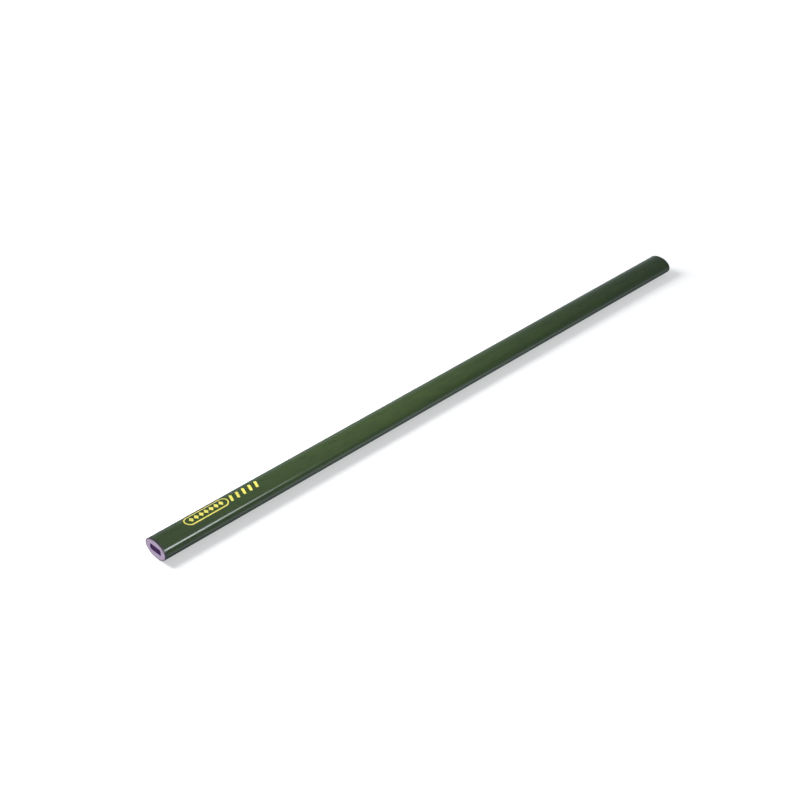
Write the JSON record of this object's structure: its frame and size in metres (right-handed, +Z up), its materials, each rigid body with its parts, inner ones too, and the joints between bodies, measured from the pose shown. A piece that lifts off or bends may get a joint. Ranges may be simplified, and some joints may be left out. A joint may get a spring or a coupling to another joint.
{
  "type": "carpenter pencil",
  "caption": "Long oval carpenter's pencil, unsharpened: lacquered wooden slats glued round a flat lead, ends cut square, plain foil marks near one end.",
  "frame": {"origin": "at mid-length, under the pencil's axis, on the surface that its broad side lies on", "axes": "+X along the pencil from the foil-stamped end to the other end, +Y across the broad side, +Z up through the stamped broad side"},
  "size_m": [0.3, 0.012, 0.0081],
  "materials": {
    "slat_wood": "bare sawn end grain, stained lilac",
    "lead": "fired graphite and clay with a dark violet cast, slight sheen",
    "glue": "dried wood glue",
    "green_lacquer": "glossy dark green pencil lacquer in several coats",
    "yellow_foil": "pale yellow pigment foil, hot stamped"
  },
  "bodies": {
    "root": {"slat_upper": "slat_wood", "slat_lower": "slat_wood", "lead_core": "lead", "lead_glue": "glue", "glue_seam_front": "glue", "glue_seam_back": "glue", "lacquer_coat": "green_lacquer", "stamp_border": "yellow_foil", "stamp_lozenges": "yellow_foil", "stamp_bars": "yellow_foil"}
  },
  "joints": []
}
